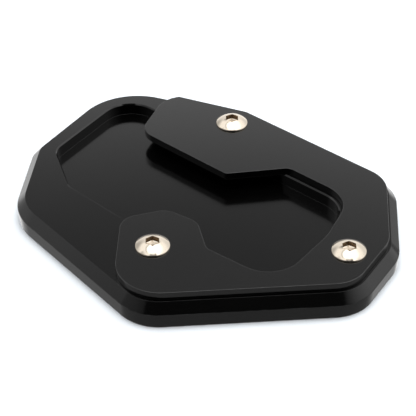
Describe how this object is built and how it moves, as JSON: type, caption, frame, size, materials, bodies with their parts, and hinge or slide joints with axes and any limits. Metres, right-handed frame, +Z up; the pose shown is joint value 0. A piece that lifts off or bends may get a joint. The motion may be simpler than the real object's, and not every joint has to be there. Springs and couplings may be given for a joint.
{
  "type": "kickstand foot enlarger",
  "caption": "Flat machined plate with a foot-shaped pocket and a C-shaped clamp plate screwed on top, which widens the foot of a side stand on soft ground.",
  "frame": {"origin": "centre of the base plate's outline, on the ground face", "axes": "+X along the front side towards the right screw, +Y away from the front side, +Z up from the ground through the pocket"},
  "size_m": [0.1197, 0.1117, 0.0125],
  "materials": {
    "anodised_base": "satin black anodised, milled",
    "anodised_clamp": "satin black anodised, milled",
    "nickel": "bright nickel plate"
  },
  "bodies": {
    "root": {"base_plate": "anodised_base", "clamp_plate": "anodised_clamp", "clamp_screws": "nickel"}
  },
  "joints": []
}
